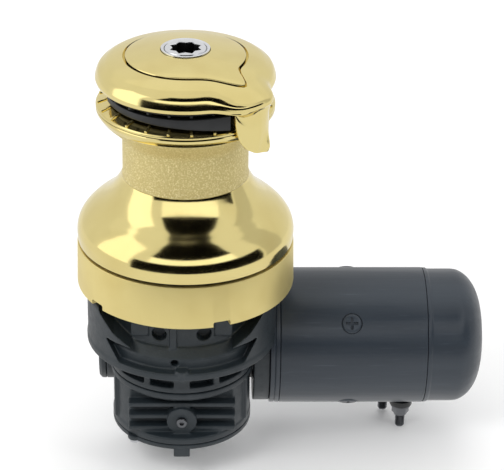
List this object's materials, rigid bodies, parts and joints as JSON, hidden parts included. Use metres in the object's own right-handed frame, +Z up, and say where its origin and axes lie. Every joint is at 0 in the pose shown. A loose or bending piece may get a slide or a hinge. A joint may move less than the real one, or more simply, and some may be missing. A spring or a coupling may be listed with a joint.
{
  "type": "electric self-tailing sailboat winch",
  "caption": "Two-jaw self-tailing deck winch with a waisted drum, handle socket and feeder arm, driven below deck by a motor and right-angle worm gearbox.",
  "frame": {"origin": "on the drum axis, in the plane of the deck under the base", "axes": "+Z up along the drum axis, +X along the motor, -Y the front, seen in the picture"},
  "size_m": [0.3336, 0.1815, 0.3598],
  "materials": {
    "polished_bronze": "polished, clear coated",
    "grit_bronze": "polished skirt and flare with a grit-blasted barrel",
    "black_plastic": "satin moulded",
    "chrome": "polished",
    "steel": "machined",
    "cast_paint": "satin paint over casting",
    "motor_paint": "satin paint",
    "gear_bronze": "machined",
    "copper": "varnished windings",
    "magnet": "rough",
    "carbon": "pressed carbon"
  },
  "bodies": {
    "frame": {"base_housing": "polished_bronze", "top_cap": "polished_bronze", "cover_plate": "polished_bronze", "stripper_ring": "black_plastic", "terminal_insulator_1": "black_plastic", "terminal_insulator_2": "black_plastic", "socket_collar": "chrome", "center_stem": "steel", "lower_bearing": "steel", "upper_bearing": "steel", "arm_screw_1": "steel", "arm_screw_2": "steel", "idler_pin_1": "steel", "idler_pin_2": "steel", "output_bearing_upper": "steel", "output_bearing_lower": "steel", "worm_bearing_left": "steel", "worm_bearing_right": "steel", "front_bearing": "steel", "rear_bearing": "steel", "cover_screw_1": "steel", "cover_screw_2": "steel", "cover_screw_3": "steel", "terminal_stud_1": "steel", "terminal_stud_2": "steel", "gearbox_upper": "cast_paint", "gearbox_lower": "cast_paint", "bottom_cover": "cast_paint", "worm_end_cap": "cast_paint", "motor_flange": "motor_paint", "motor_can": "motor_paint", "motor_end_cap": "motor_paint", "pole_screw_1": "motor_paint", "pole_screw_2": "motor_paint", "pole_screw_3": "motor_paint", "pole_screw_4": "motor_paint", "spindle_bush": "gear_bronze", "pole_1": "magnet", "pole_2": "magnet", "pole_3": "magnet", "pole_4": "magnet", "brush_1": "carbon", "brush_2": "carbon"},
    "drum": {"drum": "grit_bronze", "ring_gear": "steel", "lower_jaw": "polished_bronze", "jaw_retainer": "steel", "jaw_spring": "steel"},
    "upper_jaw": {"upper_jaw": "black_plastic"},
    "spindle": {"main_spindle": "chrome", "spindle_pinion": "steel"},
    "idler_1": {"idler_gear_1": "steel"},
    "idler_2": {"idler_gear_2": "steel"},
    "motor_rotor": {"armature_core": "copper", "motor_shaft": "steel", "commutator": "copper", "worm_shaft": "steel"},
    "output": {"worm_wheel": "gear_bronze", "output_shaft": "steel", "one_way_clutch": "steel"}
  },
  "joints": [
    {"name": "drum_spin", "type": "hinge", "parent": "frame", "child": "drum", "pos_m": [0, 0, 0.1], "axis": [0, 0, 1], "continuous": true},
    {"name": "jaw_slide", "type": "slide", "parent": "drum", "child": "upper_jaw", "axis": [0, 0, 1], "range_m": [0, 0.003], "stiffness_N_per_m": 1500, "springref_m": -0.003, "deforming": ["jaw_spring"]},
    {"name": "spindle_spin", "type": "hinge", "parent": "frame", "child": "spindle", "pos_m": [0, 0, 0.1], "axis": [0, 0, 1], "continuous": true},
    {"name": "idler_1_spin", "type": "hinge", "parent": "frame", "child": "idler_1", "pos_m": [0.028, 0, 0.046], "axis": [0, 0, 1], "continuous": true},
    {"name": "idler_2_spin", "type": "hinge", "parent": "frame", "child": "idler_2", "pos_m": [-0.028, 0, 0.046], "axis": [0, 0, 1], "continuous": true},
    {"name": "motor_spin", "type": "hinge", "parent": "frame", "child": "motor_rotor", "pos_m": [0, 0.038, -0.077], "axis": [1, 0, 0], "continuous": true},
    {"name": "output_spin", "type": "hinge", "parent": "frame", "child": "output", "pos_m": [0, 0, -0.077], "axis": [0, 0, 1], "continuous": true}
  ],
  "couplings": [
    {"joint": "spindle_spin", "follows": "drum_spin", "ratio": -3},
    {"joint": "idler_1_spin", "follows": "drum_spin", "ratio": 3},
    {"joint": "idler_2_spin", "follows": "drum_spin", "ratio": 3},
    {"joint": "output_spin", "follows": "motor_spin", "ratio": 0.034483}
  ]
}
